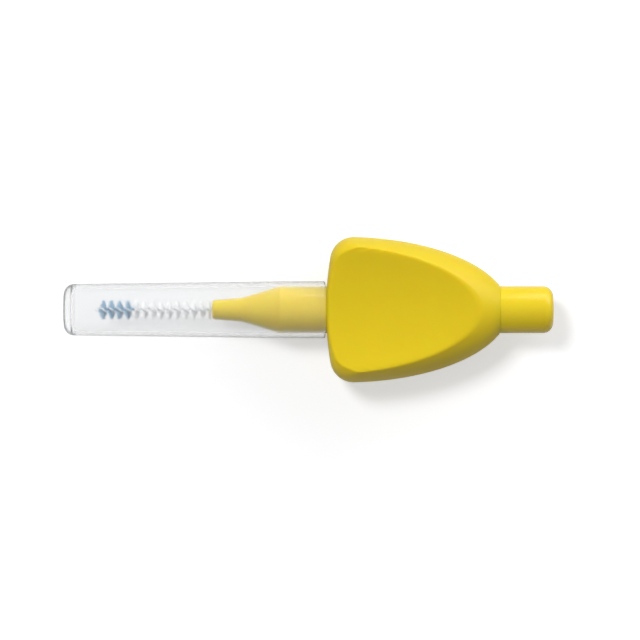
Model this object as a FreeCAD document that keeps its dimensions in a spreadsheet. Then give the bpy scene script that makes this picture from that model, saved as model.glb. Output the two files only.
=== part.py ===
import FreeCAD, Part
import math
import os
import Sketcher

# Interdental brush with a wedge finger grip, a twisted wire brush and a clear cap.
# Frame: +X along the length from the brush to the rear stub, +Y across the grip,
# +Z out of one finger dish.  The origin is under the middle of the length, on the
# plane that the grip lies on.  All sizes are millimetres.  Stations along the
# length are counted from the front of the grip until the last step of each piece,
# which shifts it to the origin.

Vector = FreeCAD.Vector
Placement = FreeCAD.Placement
Rotation = FreeCAD.Rotation

SIZES = [
    # finger grip, the overmoulded wedge
    ("grip_length", 21.67, "front apex to rear face"),
    ("grip_half_width", 9.1, "half of the widest place"),
    ("blank_lean", 0.5, "how much less high than wide half of the blank is, at the widest place"),
    ("outline_centre", 2.39, "station of the widest place"),
    ("rear_rim", 0.135, "how far the rear face stands out beside the stub"),
    ("rear_brim", 0.06, "how far the rear face stands out above the stub"),
    ("front_radius", 39.6, "bow of the front wall"),
    ("corner_radius", 3.0, "front corners in plan"),
    ("front_round", 2.3, "rounding of the front wall towards both faces"),
    ("front_height", 1.695, "blank above the shank, where that rounding ends"),
    ("dish_depth", 0.9, "depth of a finger dish below its rim"),
    ("dish_margin", 1.5, "rim of a dish to the side of the grip, at the widest place"),
    ("dish_wall", 0.475, "dish floor above the shank, at the widest place"),
    ("dish_rise", 1.1, "rise of the dish floor from the widest place to the rear face"),
    ("rim_edge", 0.22, "softening of the dish rims"),
    ("front_edge", 0.3, "softening of the front edges"),
    # rigid core: neck, hidden tang and rear stub
    ("neck_length", 14.2, "tip of the neck to the front of the grip"),
    ("neck_tip_radius", 1.17, "neck at its tip"),
    ("neck_waist_length", 10.4, "station of the neck's bend, ahead of the grip"),
    ("neck_waist_radius", 1.5, "neck at its bend"),
    ("neck_bend_length", 0.4, "easing of the neck's two bends, each way"),
    ("neck_tip_edge", 0.25, "easing of the neck's tip"),
    ("seat_length", 5.74, "cylindrical seat of the cap"),
    ("shank_radius", 2.925, "seat of the cap, and the rear stub"),
    ("seat_entry", 0.6, "how deep the seat and the stub's root enter the grip"),
    ("entry_step", 0.25, "shoulder of the stub against the rear face"),
    ("stub_length", 6.69, "rear stub"),
    ("stub_end_radius", 1.2, "rounding of the stub's end"),
    ("tang_width", 9.0, "flat tang inside the grip"),
    ("tang_thickness", 3.4, "flat tang inside the grip"),
    ("tang_end_margin", 3.0, "grip left behind and ahead of the tang"),
    ("key_hole_diameter", 3.2, "the grip flows through these"),
    ("key_hole_spacing", 6.0, "between the two key holes"),
    ("spine_radius", 1.7, "round spine through the tang"),
    # brush
    ("wire_diameter", 0.28, "one strand"),
    ("filament_diameter", 0.09, "one filament"),
    ("filament_play", 0.01, "gap between the strands, beyond the filament"),
    ("filament_spacing", 0.104, "along the wire"),
    ("twist_pitch", 2.05, "one full turn of the wire"),
    ("wire_root_depth", 5.4, "wire inside the neck"),
    ("wire_bore_play", 0.015, "between the wire and its bore"),
    ("wire_stem", 0.16, "bare wire between the neck and the filaments"),
    ("brush_length", 13.94, "all filaments"),
    ("tip_length", 4.2, "coloured filaments at the tip"),
    ("tip_bare", 0.2, "bare wire ahead of the filaments"),
    ("brush_diameter", 2.5, "over the filament tips"),
    # cap
    ("cap_length", 32.65, "closed end to mouth"),
    ("cap_gap", 0.06, "mouth to the grip"),
    ("cap_mouth_radius", 3.55, "outside, at the mouth"),
    ("cap_end_radius", 3.2, "outside, at the closed end"),
    ("cap_wall", 0.58, "side wall past the seat"),
    ("cap_end_wall", 1.0, "closed end"),
    ("cap_corner_radius", 1.2, "outside corner of the closed end"),
    ("cap_inner_corner", 0.5, "inside corner of the closed end"),
    ("cap_lead_in", 0.18, "chamfer inside the mouth"),
    ("cap_play", 0.03, "between the cap and its seat"),
]

doc = FreeCAD.newDocument("interdental_brush")
sheet = doc.addObject("Spreadsheet::Sheet", "Sizes")
size = {}
row = 1
for alias, value, note in SIZES:
    sheet.set("A" + str(row), alias)
    sheet.set("B" + str(row), repr(value))
    sheet.set("C" + str(row), note)
    sheet.setAlias("B" + str(row), alias)
    size[alias] = value
    row = row + 1
doc.recompute()

HALF_TURN = math.pi
FULL_TURN = 2.0 * math.pi


def cells(text):
    """Expression text in which every word that is a size points at its cell."""
    words = sorted(size, key=len, reverse=True)
    out = ""
    i = 0
    while i < len(text):
        hit = ""
        before = text[i - 1] if i > 0 else " "
        if not (before.isalnum() or before in "_."):
            for word in words:
                after = text[i + len(word):i + len(word) + 1]
                if text.startswith(word, i) and not (after.isalnum() or after == "_"):
                    hit = word
                    break
        if hit:
            out = out + "Sizes." + hit
            i = i + len(hit)
        else:
            out = out + text[i]
            i = i + 1
    return out


def origin_feature(body, role):
    for feature in body.Origin.OriginFeatures:
        if feature.Role == role:
            return feature
    raise RuntimeError("no origin feature " + role)


def new_sketch(body, name, role):
    sketch = body.newObject("Sketcher::SketchObject", name)
    sketch.AttachmentSupport = [(origin_feature(body, role), "")]
    sketch.MapMode = "FlatFace"
    return sketch


def dimension(sketch, name, constraint, text):
    """Add one driving dimension and bind it to the sheet."""
    index = sketch.addConstraint(constraint)
    sketch.renameConstraint(index, name)
    sketch.setExpression("Constraints." + name, cells(text))


def corner_outline(body, name, role, corners):
    """Closed outline of straight edges, every corner placed by two dimensions."""
    sketch = new_sketch(body, name, role)
    count = len(corners)
    points = []
    for i in range(count):
        angle = FULL_TURN * i / count
        points.append(Vector(20.0 * math.cos(angle), 20.0 * math.sin(angle), 0.0))
    for i in range(count):
        sketch.addGeometry(Part.LineSegment(points[i], points[(i + 1) % count]), False)
    for i in range(count):
        link = Sketcher.Constraint("Coincident", i, 2, (i + 1) % count, 1)
        sketch.addConstraint(link)
    for i in range(count):
        across = Sketcher.Constraint("DistanceX", i, 1, points[i].x)
        dimension(sketch, "x" + str(i), across, corners[i][0])
        upward = Sketcher.Constraint("DistanceY", i, 1, points[i].y)
        dimension(sketch, "y" + str(i), upward, corners[i][1])
    doc.recompute()
    return sketch


def oval_section(body, name, station, half_width, half_height):
    """Ellipse across the length at one station, wider than it is high."""
    sketch = new_sketch(body, name, "YZ_Plane")
    sketch.setExpression("AttachmentOffset.Base.z", cells(station))
    side = Vector(9.0, 0, 0)
    crown = Vector(0, 8.0, 0)
    sketch.addGeometry(Part.Ellipse(side, crown, Vector(0, 0, 0)), False)
    sketch.exposeInternalGeometry(0)
    sketch.addConstraint(Sketcher.Constraint("Coincident", 0, 3, -1, 1))
    sketch.addConstraint(Sketcher.Constraint("Horizontal", 1))
    dimension(sketch, "wide", Sketcher.Constraint("Distance", 1, 18.0), "2 * " + half_width)
    dimension(sketch, "high", Sketcher.Constraint("Distance", 2, 16.0), "2 * " + half_height)
    doc.recompute()
    return sketch


def revolve(body, name, sketch, kind):
    feature = body.newObject(kind, name)
    feature.Profile = sketch
    feature.ReferenceAxis = (origin_feature(body, "X_Axis"), [""])
    feature.Angle = 360.0
    doc.recompute()
    return feature


def dress(body, kind, name, base, picks, prop, text):
    """Fillet or chamfer the edges that a test picks from the feature before."""
    names = []
    for i, edge in enumerate(base.Shape.Edges):
        if picks(edge):
            names.append("Edge" + str(i + 1))
    if not names:
        raise RuntimeError("no edge found for " + name)
    feature = body.newObject(kind, name)
    feature.Base = (base, names)
    feature.setExpression(prop, cells(text))
    doc.recompute()
    return feature


def ring_at(station, radius):
    """Test for a round edge about the length, by its station and radius."""
    def test(edge):
        box = edge.BoundBox
        flat = box.XLength < 1e-4
        there = abs(box.XMin - station) < 2e-3
        wide = abs(box.ZMax - radius) < 2e-3
        return flat and there and wide
    return test


# ---------------------------------------------------------------- rigid core
# One revolved outline carries the neck, the round spine and the rear stub.  The
# blind bore in the neck's tip takes the root of the wire.
core = doc.addObject("PartDesign::Body", "handle_core_body")
twist_radius = "(wire_diameter + (filament_diameter + filament_play) / 2)"
wire_bore = "(" + twist_radius + " + wire_bore_play)"
core_sketch = corner_outline(core, "core_outline", "XZ_Plane", [
    ("-neck_length", wire_bore),
    ("-neck_length", "neck_tip_radius"),
    ("-neck_waist_length", "neck_waist_radius"),
    ("-seat_length", "shank_radius"),
    ("seat_entry", "shank_radius"),
    ("seat_entry", "spine_radius"),
    ("grip_length - seat_entry", "spine_radius"),
    ("grip_length - seat_entry", "shank_radius - entry_step"),
    ("grip_length", "shank_radius - entry_step"),
    ("grip_length", "shank_radius"),
    ("grip_length + stub_length", "shank_radius"),
    ("grip_length + stub_length", "0"),
    ("-neck_length + wire_root_depth", "0"),
    ("-neck_length + wire_root_depth", wire_bore),
])
core_turn = revolve(core, "core_turned", core_sketch, "PartDesign::Revolution")

# The flat tang lies inside the grip, with two holes that the grip flows through.
tang_sketch = corner_outline(core, "tang_outline", "XY_Plane", [
    ("tang_end_margin", "-tang_width / 2"),
    ("grip_length - tang_end_margin - seat_entry - tang_end_margin", "-tang_width / 2"),
    ("grip_length - tang_end_margin - seat_entry - tang_end_margin", "tang_width / 2"),
    ("tang_end_margin", "tang_width / 2"),
])
tang = core.newObject("PartDesign::Pad", "tang")
tang.Profile = tang_sketch
tang.setExpression("Length", cells("tang_thickness"))
tang.Midplane = True
doc.recompute()

hole_sketch = new_sketch(core, "key_holes", "XY_Plane")
for side in (-1, 1):
    centre = Vector(8.0 + 4.0 * side, 0, 0)
    hole_sketch.addGeometry(Part.Circle(centre, Vector(0, 0, 1), 1.5), False)
tang_middle = "(grip_length - tang_end_margin - seat_entry) / 2"
for i, sign in ((0, "-"), (1, "+")):
    on_axis = Sketcher.Constraint("PointOnObject", i, 3, -1)
    hole_sketch.addConstraint(on_axis)
    along = Sketcher.Constraint("DistanceX", i, 3, 8.0 + 4.0 * (2 * i - 1))
    dimension(hole_sketch, "hole" + str(i), along, tang_middle + sign + " key_hole_spacing / 2")
    round_size = Sketcher.Constraint("Diameter", i, 3.0)
    dimension(hole_sketch, "width" + str(i), round_size, "key_hole_diameter")
doc.recompute()
holes = core.newObject("PartDesign::Pocket", "key_holes_cut")
holes.Profile = hole_sketch
holes.Type = "ThroughAll"
holes.Midplane = True
doc.recompute()

seat_ring = ring_at(-size["seat_length"], size["shank_radius"])
waist_ring = ring_at(-size["neck_waist_length"], size["neck_waist_radius"])


def neck_bends(edge):
    return seat_ring(edge) or waist_ring(edge)


neck_soft = dress(core, "PartDesign::Chamfer", "neck_bends", holes, neck_bends,
                  "Size", "neck_bend_length")
tip_soft = dress(core, "PartDesign::Chamfer", "neck_tip", neck_soft,
                 ring_at(-size["neck_length"], size["neck_tip_radius"]),
                 "Size", "neck_tip_edge")
stub_end = size["grip_length"] + size["stub_length"]
core_done = dress(core, "PartDesign::Fillet", "stub_end", tip_soft,
                  ring_at(stub_end, size["shank_radius"]),
                  "Radius", "stub_end_radius")
core.Tip = core_done
core.Label = "handle_core"

# --------------------------------------------------------------- finger grip
# Every section is an ellipse.  Its half width follows a larger ellipse along the length
# and its half height a leaner curve of the same kind, so that the flanks rise steeply
# to the dish rims and close to a dome behind the dishes, just round the stub.
SIDE_POWER = "1.5"
grip = doc.addObject("PartDesign::Body", "finger_grip_body")
rear_run = "(grip_length - outline_centre)"
half_width_taper = "(1 - ((shank_radius + rear_rim) / grip_half_width) ^ 2)"
blank_half = "(grip_half_width - blank_lean)"
half_height_taper = ("(1 - ((shank_radius + rear_brim) / " + blank_half + ") ^ "
                     + SIDE_POWER + ")")
sections = []
STATIONS = (-0.02, 0.22, 0.50, 0.74, 0.90, 1.0)
for number, share in enumerate(STATIONS):
    station = "grip_length * " + str(share)
    if share < 0:
        station = "-corner_radius"
    run = "(abs(" + station + " - outline_centre) / " + rear_run + ")"
    half_width = "grip_half_width * sqrt(1 - " + half_width_taper + " * " + run + " ^ 2)"
    half_height = (blank_half + " * (1 - " + half_height_taper + " * " + run + " ^ "
                   + SIDE_POWER + ") ^ (1 / " + SIDE_POWER + ")")
    sections.append(oval_section(grip, "section" + str(number), station,
                                 half_width, half_height))
wedge = grip.newObject("PartDesign::AdditiveLoft", "wedge")
wedge.Profile = sections[0]
wedge.Sections = sections[1:]
wedge.Ruled = False
doc.recompute()

# Both faces of the blank are cut flat, just above the rims that the dishes leave.
blank_top = "(shank_radius + front_height)"
for side_name, sign in (("upper", ""), ("lower", "-")):
    flat_sketch = corner_outline(grip, side_name + "_face", "XZ_Plane", [
        ("-2 * corner_radius", sign + blank_top),
        ("grip_length", sign + blank_top),
        ("grip_length", sign + "2 * grip_half_width"),
        ("-2 * corner_radius", sign + "2 * grip_half_width"),
    ])
    flat_cut = grip.newObject("PartDesign::Pocket", side_name + "_face_cut")
    flat_cut.Profile = flat_sketch
    flat_cut.Type = "ThroughAll"
    flat_cut.Midplane = True
    doc.recompute()

# The front is cut to a bowed wall with two round corners.
front_sketch = new_sketch(grip, "front_outline", "XY_Plane")
bow = size["front_radius"]
nook = size["corner_radius"]
nook_y = size["grip_half_width"] - nook
nook_x = bow - math.sqrt((bow - nook) ** 2 - nook_y ** 2)
lean = math.atan2(nook_y, bow - nook_x)
clear = 2.0 * size["grip_half_width"]
up = Vector(0, 0, 1)
bow_circle = Part.Circle(Vector(bow, 0, 0), up, bow)
front_sketch.addGeometry(Part.ArcOfCircle(bow_circle, HALF_TURN - lean, HALF_TURN + lean), False)
low_circle = Part.Circle(Vector(nook_x, -nook_y, 0), up, nook)
front_sketch.addGeometry(Part.ArcOfCircle(low_circle, HALF_TURN + lean, 1.5 * HALF_TURN), False)
high_circle = Part.Circle(Vector(nook_x, nook_y, 0), up, nook)
front_sketch.addGeometry(Part.ArcOfCircle(high_circle, 0.5 * HALF_TURN, HALF_TURN - lean), False)
frame = [
    Vector(nook_x, -nook_y - nook, 0),
    Vector(nook_x, -clear, 0),
    Vector(-clear, -clear, 0),
    Vector(-clear, clear, 0),
    Vector(nook_x, clear, 0),
    Vector(nook_x, nook_y + nook, 0),
]
for i in range(5):
    front_sketch.addGeometry(Part.LineSegment(frame[i], frame[i + 1]), False)
link = Sketcher.Constraint
front_sketch.addConstraint(link("Tangent", 0, 2, 1, 1))
front_sketch.addConstraint(link("Tangent", 2, 2, 0, 1))
front_sketch.addConstraint(link("Coincident", 1, 2, 3, 1))
front_sketch.addConstraint(link("Coincident", 3, 2, 4, 1))
front_sketch.addConstraint(link("Coincident", 4, 2, 5, 1))
front_sketch.addConstraint(link("Coincident", 5, 2, 6, 1))
front_sketch.addConstraint(link("Coincident", 6, 2, 7, 1))
front_sketch.addConstraint(link("Coincident", 7, 2, 2, 1))
front_sketch.addConstraint(link("Vertical", 3))
front_sketch.addConstraint(link("Horizontal", 4))
front_sketch.addConstraint(link("Vertical", 5))
front_sketch.addConstraint(link("Horizontal", 6))
front_sketch.addConstraint(link("Vertical", 7))
front_sketch.addConstraint(link("PointOnObject", 0, 3, -1))
front_sketch.addConstraint(link("Equal", 1, 2))
front_sketch.addConstraint(link("Vertical", 1, 3, 1, 2))
front_sketch.addConstraint(link("Vertical", 2, 3, 2, 1))
dimension(front_sketch, "bow", link("Radius", 0, bow), "front_radius")
dimension(front_sketch, "bow_at", link("DistanceX", 0, 3, bow), "front_radius")
dimension(front_sketch, "nook", link("Radius", 1, nook), "corner_radius")
dimension(front_sketch, "nook_low", link("DistanceY", 1, 3, -nook_y),
          "corner_radius - grip_half_width")
dimension(front_sketch, "nook_high", link("DistanceY", 2, 3, nook_y),
          "grip_half_width - corner_radius")
dimension(front_sketch, "box_low", link("DistanceY", 4, 1, -clear), "-2 * grip_half_width")
dimension(front_sketch, "box_high", link("DistanceY", 6, 1, clear), "2 * grip_half_width")
dimension(front_sketch, "box_side", link("DistanceX", 5, 1, -clear), "-2 * grip_half_width")
doc.recompute()
front_cut = grip.newObject("PartDesign::Pocket", "front_wall")
front_cut.Profile = front_sketch
front_cut.Type = "ThroughAll"
front_cut.Midplane = True
doc.recompute()

TOP = size["shank_radius"] + size["front_height"]


def round_the_front(edge):
    """Test for the edges of the front wall with the two flat faces."""
    box = edge.BoundBox
    walls = [face for face in front_cut.Shape.ancestorsOfType(edge, Part.Face)
             if isinstance(face.Surface, Part.Cylinder)]
    return bool(walls) and box.ZLength < 1e-4 and abs(abs(box.ZMin) - TOP) < 1e-3


front_rounded = dress(grip, "PartDesign::Fillet", "front_rounding", front_cut,
                      round_the_front, "Radius", "front_round")

# Each finger dish is turned about an axis above the grip that rises to the rear, so
# that the dish is hollow across, grows shallow to the rear and runs out at the front.
dish_half = "(grip_half_width - dish_margin)"
dish_radius = "((" + dish_half + " ^ 2 + dish_depth ^ 2) / (2 * dish_depth))"
dish_floor = "(shank_radius + dish_wall)"
dish_slope = "(dish_rise / " + rear_run + ")"
axis_front = "(" + dish_floor + " + " + dish_radius + " - grip_half_width * " + dish_slope + ")"
axis_rear = ("(" + dish_floor + " + " + dish_radius + " + dish_rise + corner_radius * "
             + dish_slope + ")")
dish_sketch = corner_outline(grip, "dish_outline", "XZ_Plane", [
    ("outline_centre - grip_half_width", axis_front),
    ("grip_length + corner_radius", axis_rear),
    ("grip_length + corner_radius", axis_rear + " + " + dish_radius),
    ("outline_centre - grip_half_width", axis_front + " + " + dish_radius),
])
dish = grip.newObject("PartDesign::Groove", "dish")
dish.Profile = dish_sketch
dish.ReferenceAxis = (dish_sketch, ["Edge1"])
dish.Angle = 360.0
doc.recompute()
both = grip.newObject("PartDesign::Mirrored", "both_dishes")
both.Originals = [dish]
both.MirrorPlane = (origin_feature(grip, "XY_Plane"), [""])
grip.Tip = both
doc.recompute()
before = wedge.Shape.Volume
after = both.Shape.Volume
print("grip blank", round(before, 1), "with dishes", round(after, 1))
if not after < before * 0.98:
    raise RuntimeError("the dishes cut nothing")

REAR = size["grip_length"]


def edges_to_soften(shape, rims):
    """Test for the sharp edges high on the grip: the long dish rims, or the front."""
    def test(edge):
        box = edge.BoundBox
        faces = shape.ancestorsOfType(edge, Part.Face)
        if len(faces) < 2 or box.XMin > REAR - 1e-3:
            return False
        level = box.ZLength > 2.0 * size["dish_depth"]
        seam = box.YLength < 1e-3 and box.XLength > 1.0
        high = max(abs(box.ZMin), abs(box.ZMax)) > size["shank_radius"]
        long = box.XLength > size["corner_radius"]
        spot = edge.valueAt((edge.FirstParameter + edge.LastParameter) / 2.0)
        normals = []
        for face in faces:
            u, v = face.Surface.parameter(spot)
            normals.append(face.normalAt(u, v))
        sharp = abs(normals[0].dot(normals[1])) < 0.985
        return sharp and high and not seam and not level and long == rims
    return test


front_soft = dress(grip, "PartDesign::Chamfer", "front_edges", both,
                   edges_to_soften(both.Shape, False), "Size", "front_edge")
grip_soft = dress(grip, "PartDesign::Chamfer", "dish_rims", front_soft,
                  edges_to_soften(front_soft.Shape, True), "Size", "rim_edge")
grip.Tip = grip_soft
grip.Label = "finger_grip_blank"

# ----------------------------------------------------------------------- cap
# A thin closed tube: a cylindrical seat at the mouth, then a draft to the end.
cap = doc.addObject("PartDesign::Body", "cap_body")
cap_bore = "(shank_radius + cap_play)"
cap_sketch = corner_outline(cap, "cap_outline", "XZ_Plane", [
    ("-cap_gap - cap_length", "0"),
    ("-cap_gap - cap_length", "cap_end_radius"),
    ("-seat_length", "cap_mouth_radius"),
    ("-cap_gap", "cap_mouth_radius"),
    ("-cap_gap", cap_bore),
    ("-seat_length", cap_bore),
    ("-cap_gap - cap_length + cap_end_wall", "cap_end_radius - cap_wall"),
    ("-cap_gap - cap_length + cap_end_wall", "0"),
])
cap_turn = revolve(cap, "cap_turned", cap_sketch, "PartDesign::Revolution")
cap_end = -size["cap_gap"] - size["cap_length"]
cap_outer = dress(cap, "PartDesign::Fillet", "cap_corner", cap_turn,
                  ring_at(cap_end, size["cap_end_radius"]),
                  "Radius", "cap_corner_radius")
inner_ring = ring_at(cap_end + size["cap_end_wall"], size["cap_end_radius"] - size["cap_wall"])
cap_inner = dress(cap, "PartDesign::Chamfer", "cap_inside", cap_outer, inner_ring,
                  "Size", "cap_inner_corner")
mouth_ring = ring_at(-size["cap_gap"], size["shank_radius"] + size["cap_play"])
cap_done = dress(cap, "PartDesign::Chamfer", "cap_lead_in", cap_inner, mouth_ring,
                 "Size", "cap_lead_in")
cap.Tip = cap_done
cap.Label = "cap"

# --------------------------------------------------------------------- brush
# The wire is one strand, folded at the tip and twisted on itself.  Its two legs run
# as a right-handed double helix; the filaments lie in the gap between them.
strand = size["wire_diameter"] / 2.0
slit = size["filament_diameter"] + size["filament_play"]
leg_radius = strand + slit / 2.0
pitch = size["twist_pitch"]
brush_end = -size["neck_length"] - size["wire_stem"]
brush_tip = brush_end - size["brush_length"]
fold = brush_tip - size["tip_bare"]
root = -size["neck_length"] + size["wire_root_depth"]


def twist(x):
    return FULL_TURN * (x - brush_tip) / pitch


def on_leg(x, offset):
    angle = twist(x)
    return Vector(x, offset * math.cos(angle), offset * math.sin(angle))


PER_TURN = 8
SIDES = 6
FILAMENT_SIDES = 4
steps = int(math.ceil((root - fold) / pitch * PER_TURN))
path = []
for i in range(steps):
    path.append(on_leg(root + (fold - root) * i / steps, leg_radius))
BEND = 8
for i in range(BEND + 1):
    angle = HALF_TURN * i / BEND
    path.append(on_leg(fold - leg_radius * math.sin(angle), leg_radius * math.cos(angle)))
for i in range(1, steps + 1):
    path.append(on_leg(fold + (root - fold) * i / steps, -leg_radius))

rings = []
side = Vector(0, 0, 1)
for i, point in enumerate(path):
    ahead = path[min(i + 1, len(path) - 1)] - path[max(i - 1, 0)]
    ahead.normalize()
    side = side - ahead * side.dot(ahead)
    side.normalize()
    other = ahead.cross(side)
    ring = []
    for k in range(SIDES):
        angle = FULL_TURN * k / SIDES
        ring.append(point + (side * math.cos(angle) + other * math.sin(angle)) * strand)
    ring.append(ring[0])
    rings.append(Part.makePolygon(ring))
wire = doc.addObject("Part::Feature", "core_wire")
wire.Shape = Part.makeLoft(rings, True, True)
wire.Label = "core_wire"


def filament_group(name, begin, end):
    """Filaments side by side from one station to another, each turned with the wire."""
    thick = size["filament_diameter"] / 2.0
    reach = size["brush_diameter"] / 2.0
    count = int(round((end - begin) / size["filament_spacing"]))
    gap = (end - begin) / count
    corners = []
    for k in range(FILAMENT_SIDES + 1):
        angle = FULL_TURN * k / FILAMENT_SIDES
        corners.append(Vector(thick * math.cos(angle), -reach, thick * math.sin(angle)))
    strip = Part.Face(Part.makePolygon(corners)).extrude(Vector(0, 2.0 * reach, 0))
    solids = []
    for i in range(count):
        x = begin + (i + 0.5) * gap
        one = strip.copy()
        quarter = math.degrees(twist(x)) + 90.0
        one.Placement = Placement(Vector(x, 0, 0), Rotation(Vector(1, 0, 0), quarter))
        solids.append(one)
    group = doc.addObject("Part::Feature", name)
    group.Shape = Part.makeCompound(solids)
    group.Label = name
    return group


tip_end = brush_tip + size["tip_length"]
tip_filaments = filament_group("tip_filaments", brush_tip, tip_end)
white_filaments = filament_group("white_filaments", tip_end, brush_end)

# ------------------------------------------------------------ to the origin
# Half of the whole length lies on each side of the origin.  The grip lies on the
# rim of its lower dish, so the axis stands as high as that rim is deep.
rest = -grip_soft.Shape.optimalBoundingBox(False, False).ZMin
sheet.set("A" + str(row), "rest_height")
sheet.set("B" + str(row), repr(round(rest, 5)))
sheet.set("C" + str(row), "measured: axis above the plane that the grip lies on")
sheet.setAlias("B" + str(row), "rest_height")
doc.recompute()
size["rest_height"] = round(rest, 5)
print("axis height", size["rest_height"])
shift_x = "((cap_gap + cap_length) - (grip_length + stub_length)) / 2"
for piece in (core, grip, cap):
    piece.setExpression("Placement.Base.x", cells(shift_x))
    piece.setExpression("Placement.Base.z", cells("rest_height"))
length_ahead = size["cap_gap"] + size["cap_length"]
length_behind = size["grip_length"] + size["stub_length"]
home = Vector((length_ahead - length_behind) / 2.0, 0, size["rest_height"])
for piece in (wire, tip_filaments, white_filaments):
    piece.Placement = Placement(home, Rotation())
doc.recompute()

# The grip is moulded round the core, so its inside is the core's own outside.
grip_moulded = doc.addObject("Part::Cut", "finger_grip")
grip_moulded.Base = grip
grip_moulded.Tool = core
grip_moulded.Label = "finger_grip"
doc.recompute()

# -------------------------------------------------------------------- export
for item in doc.Objects:
    if "Invalid" in item.State or "Error" in item.State:
        raise RuntimeError("object failed: " + item.Name + " " + str(item.State))

NODES = [core, grip_moulded, wire, white_filaments, tip_filaments, cap]
os.makedirs("parts", exist_ok=True)
for node in NODES:
    shape = node.Shape
    if shape.isNull() or not shape.isValid():
        raise RuntimeError("bad shape: " + node.Label)
for node in NODES:
    shape = node.Shape
    box = shape.BoundBox
    spans = (box.XMin, box.XMax, box.YMin, box.YMax, box.ZMin, box.ZMax)
    print(node.Label, len(shape.Solids), "solids", round(shape.Volume, 3), "mm3",
          [round(span, 3) for span in spans])
    shape.exportStep("parts/" + node.Label + ".step")
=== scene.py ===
"""Interdental brush with a dished finger grip, a twisted wire brush and a clear cap.

Laid out as an add-on and run as a script: the sizes and colours are property groups,
each piece has its own operator, and main() calls them in order.  All numbers are
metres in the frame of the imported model.  "Station" is a distance along the length,
counted from the front of the grip towards the rear stub.
"""
import math

import bpy
import numpy as np
from bpy.props import FloatProperty, FloatVectorProperty, IntProperty, PointerProperty
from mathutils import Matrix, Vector


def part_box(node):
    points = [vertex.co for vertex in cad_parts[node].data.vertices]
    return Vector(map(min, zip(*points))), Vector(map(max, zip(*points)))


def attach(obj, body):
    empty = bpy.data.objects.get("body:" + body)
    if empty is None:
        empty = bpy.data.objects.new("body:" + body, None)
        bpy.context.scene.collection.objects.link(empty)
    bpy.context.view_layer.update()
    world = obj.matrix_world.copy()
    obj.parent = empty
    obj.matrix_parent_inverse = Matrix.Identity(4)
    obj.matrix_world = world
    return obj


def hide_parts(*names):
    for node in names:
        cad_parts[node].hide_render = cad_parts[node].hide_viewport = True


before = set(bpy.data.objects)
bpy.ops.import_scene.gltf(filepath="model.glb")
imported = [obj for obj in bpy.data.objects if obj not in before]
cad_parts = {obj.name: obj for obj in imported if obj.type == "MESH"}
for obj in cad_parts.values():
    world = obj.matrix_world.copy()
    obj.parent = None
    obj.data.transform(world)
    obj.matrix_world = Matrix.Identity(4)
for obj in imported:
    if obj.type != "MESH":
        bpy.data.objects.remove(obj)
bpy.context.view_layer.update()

bl_info = {
    "name": "Interdental brush",
    "version": (1, 0, 0),
    "blender": (4, 5, 0),
    "location": "View3D > Sidebar > Brush",
    "description": "Builds a capped interdental brush, piece by piece",
    "category": "Add Mesh",
}

GRIP_LENGTH = 0.02167
CAP_LOW, CAP_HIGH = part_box("cap")
AXIS_HEIGHT = (CAP_LOW.z + CAP_HIGH.z) / 2.0
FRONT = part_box("finger_grip")[1].x - GRIP_LENGTH

# Radius of the last ring of a turned surface, before it closes on the axis.
POLE_RADIUS = 0.0001

# Half of the floor's side.
FLOOR_REACH = 2.0

# What gloss mirrors of the room: the way to its bright side, and how far it dims
# towards the others.
BRIGHT_SIDE = (0.3, 0.88, 0.35)
SIDE_CONTRAST = 0.45


def length(name, description, default):
    """A size in metres that a user may change."""
    return FloatProperty(name=name, description=description, default=default,
                         min=0.0, precision=5, unit="LENGTH")


def tint(name, description, default):
    """A linear colour that a user may change."""
    return FloatVectorProperty(name=name, description=description, default=default,
                               size=3, min=0.0, max=1.0, subtype="COLOR")


def share(name, description, default):
    """A number from 0 to 1 that a user may change."""
    return FloatProperty(name=name, description=description, default=default,
                         min=0.0, max=1.0, subtype="FACTOR")


# ------------------------------------------------------------- sizes and colours
class GripSettings(bpy.types.PropertyGroup):
    """The overmoulded finger grip."""
    span: length("Length", "Front apex to rear face", GRIP_LENGTH)
    half_width: length("Half width", "Half of the widest place", 0.0091)
    half_height: length("Half height", "Half of the grip before it is dished", 0.0086)
    widest: length("Widest place", "Station of the widest place", 0.00239)
    rear_width: length("Rear half width", "Rear face, beside the stub", 0.00306)
    rear_height: length("Rear half height", "Rear face, above the stub", 0.002985)
    bow: length("Front bow", "Radius of the front wall in plan", 0.0396)
    corner: length("Front corner", "Radius of the front corners in plan", 0.003)
    front_round: length("Front rounding", "Front wall towards both faces", 0.0023)
    front_top: length("Front top", "Height above the axis where it ends", 0.00462)
    edge: length("Front edge", "Softening of the front edges", 0.0002)
    rear_edge: length("Rear edge", "Softening of the rear edge", 0.0001)
    dish_half: length("Dish half width", "Half width of a dish at its rim", 0.0076)
    dish_depth: length("Dish depth", "Depth of a dish below its rim", 0.0009)
    dish_floor: length("Dish floor", "Floor above the axis, where widest", 0.0034)
    dish_rise: length("Dish rise", "Rise of the dish floor to the rear face", 0.0011)
    rim: length("Rim softness", "Width over which rim and dish blend", 0.00033)
    colour: tint("Colour", "Satin yellow of the grip", (0.80, 0.60, 0.013))
    roughness: share("Roughness", "Gloss of the grip", 0.42)


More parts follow.
